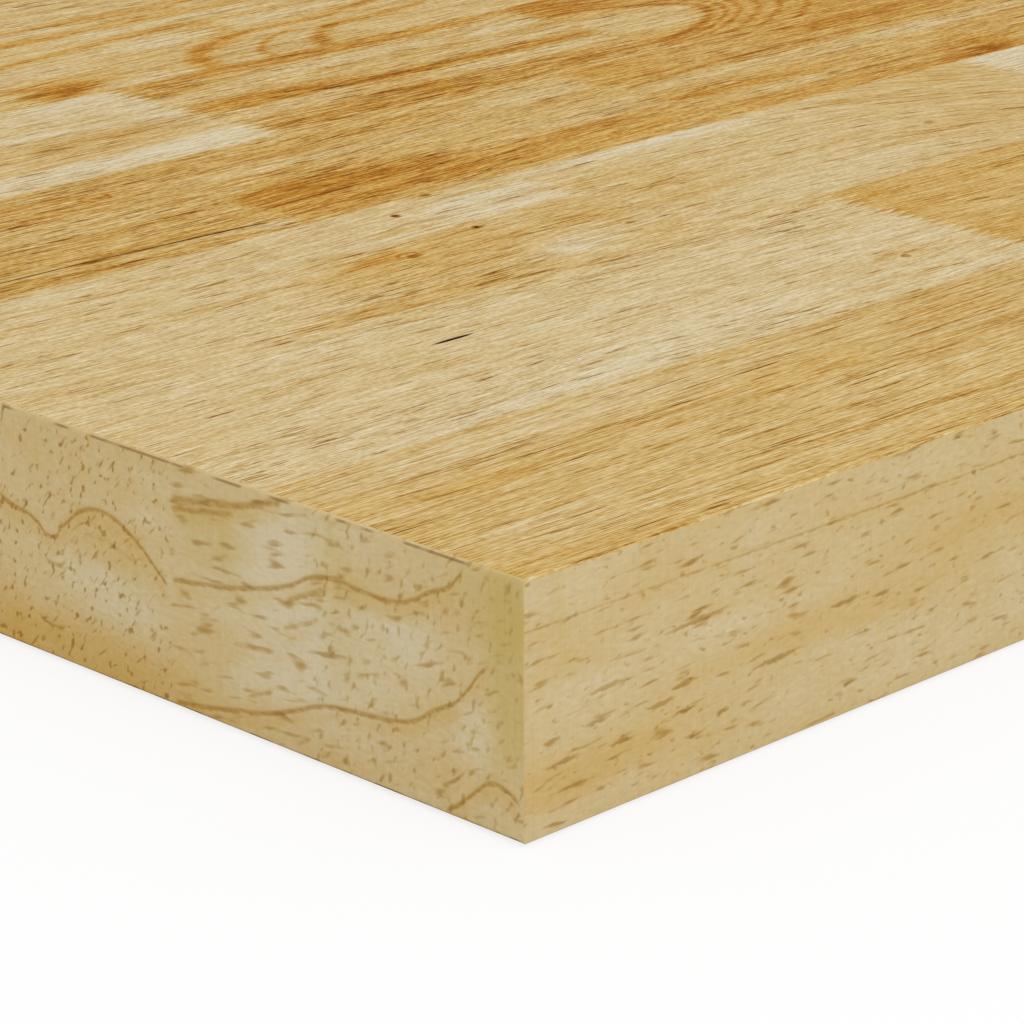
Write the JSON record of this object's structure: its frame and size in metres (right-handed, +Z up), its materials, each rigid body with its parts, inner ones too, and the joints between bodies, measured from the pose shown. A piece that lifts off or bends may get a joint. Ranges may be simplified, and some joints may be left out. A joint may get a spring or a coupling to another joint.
{
  "type": "desk top",
  "caption": "Rectangular solid wood desk top: a butcher-block board of edge-glued staves, each of finger-jointed blocks, with square, lightly eased edges.",
  "frame": {"origin": "middle of the underside", "axes": "+X along the grain and the length, +Y across the staves, +Z up out of the top face"},
  "size_m": [1.2, 0.65, 0.04],
  "materials": {
    "rubberwood_cream": "clear satin",
    "rubberwood_pale": "clear satin",
    "rubberwood_honey": "clear satin",
    "rubberwood_tan": "clear satin"
  },
  "bodies": {
    "root": {"stave_01_block_1": "rubberwood_honey", "stave_01_block_2": "rubberwood_cream", "stave_01_block_3": "rubberwood_honey", "stave_01_block_4": "rubberwood_pale", "stave_02_block_1": "rubberwood_cream", "stave_02_block_2": "rubberwood_honey", "stave_02_block_3": "rubberwood_cream", "stave_02_block_4": "rubberwood_tan", "stave_03_block_1": "rubberwood_cream", "stave_03_block_2": "rubberwood_cream", "stave_03_block_3": "rubberwood_pale", "stave_03_block_4": "rubberwood_honey", "stave_03_block_5": "rubberwood_cream", "stave_04_block_1": "rubberwood_tan", "stave_04_block_2": "rubberwood_honey", "stave_04_block_3": "rubberwood_honey", "stave_04_block_4": "rubberwood_cream", "stave_04_block_5": "rubberwood_honey", "stave_05_block_1": "rubberwood_pale", "stave_05_block_2": "rubberwood_honey", "stave_05_block_3": "rubberwood_cream", "stave_05_block_4": "rubberwood_tan", "stave_05_block_5": "rubberwood_pale", "stave_06_block_1": "rubberwood_cream", "stave_06_block_2": "rubberwood_pale", "stave_06_block_3": "rubberwood_honey", "stave_06_block_4": "rubberwood_cream", "stave_07_block_1": "rubberwood_tan", "stave_07_block_2": "rubberwood_cream", "stave_07_block_3": "rubberwood_honey", "stave_08_block_1": "rubberwood_cream", "stave_08_block_2": "rubberwood_pale", "stave_08_block_3": "rubberwood_honey", "stave_08_block_4": "rubberwood_tan", "stave_09_block_1": "rubberwood_honey", "stave_09_block_2": "rubberwood_cream", "stave_09_block_3": "rubberwood_pale", "stave_10_block_1": "rubberwood_pale", "stave_10_block_2": "rubberwood_tan", "stave_10_block_3": "rubberwood_cream", "stave_10_block_4": "rubberwood_honey", "stave_11_block_1": "rubberwood_cream", "stave_11_block_2": "rubberwood_honey", "stave_11_block_3": "rubberwood_cream", "stave_12_block_1": "rubberwood_honey", "stave_12_block_2": "rubberwood_pale", "stave_12_block_3": "rubberwood_tan", "stave_12_block_4": "rubberwood_cream"}
  },
  "joints": []
}
